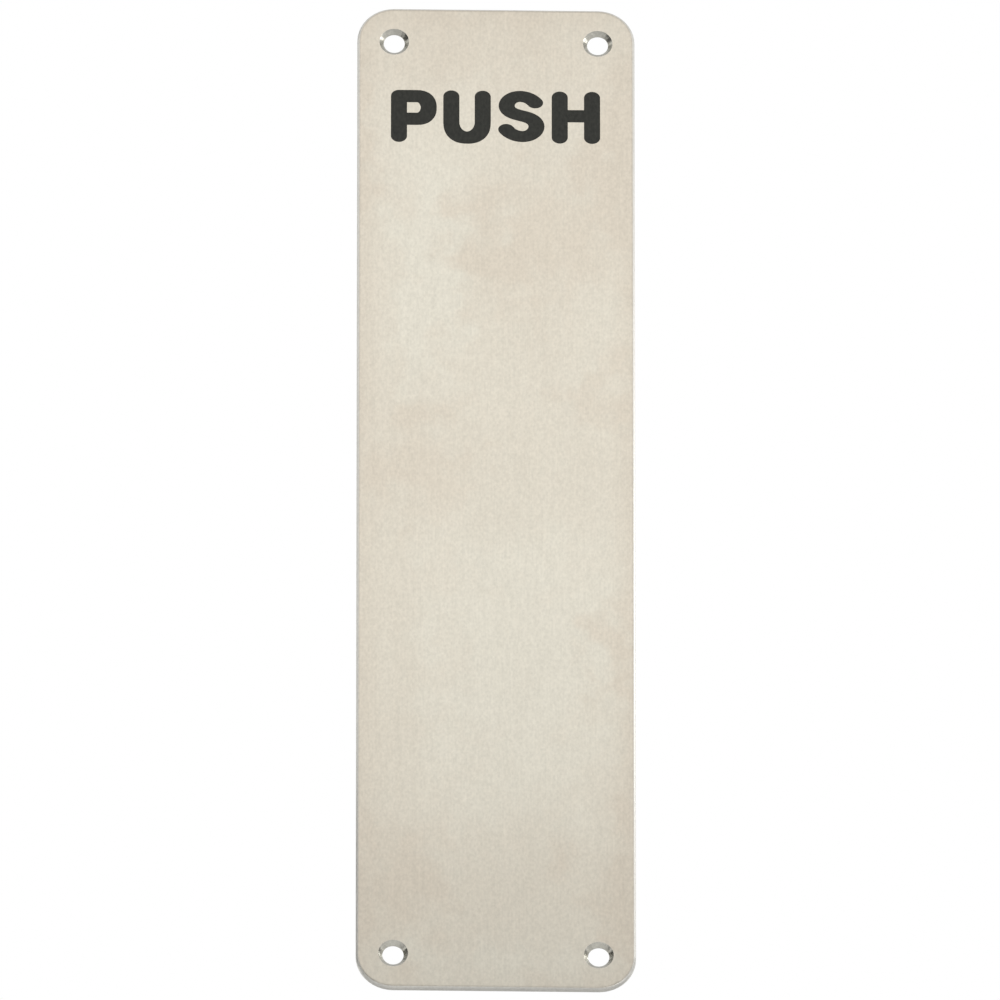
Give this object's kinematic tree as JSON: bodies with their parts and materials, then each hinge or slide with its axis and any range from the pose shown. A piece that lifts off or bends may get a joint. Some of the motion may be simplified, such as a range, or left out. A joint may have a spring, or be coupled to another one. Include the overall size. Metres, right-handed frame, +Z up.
{
  "type": "door finger plate",
  "caption": "Flat upright door finger plate of satin steel with rounded corners, an eased front rim and countersunk screw holes near its corners; it guards a door where hands push it.",
  "frame": {"origin": "centre of the back face, which lies against the door", "axes": "+X across the plate, to the right seen from the front; +Y into the door; +Z up along the plate's length"},
  "size_m": [0.075, 0.0015, 0.3],
  "materials": {
    "satin_steel": "satin brushed stainless steel, fine grain along the length"
  },
  "bodies": {
    "root": {"finger_plate": "satin_steel"}
  },
  "joints": []
}
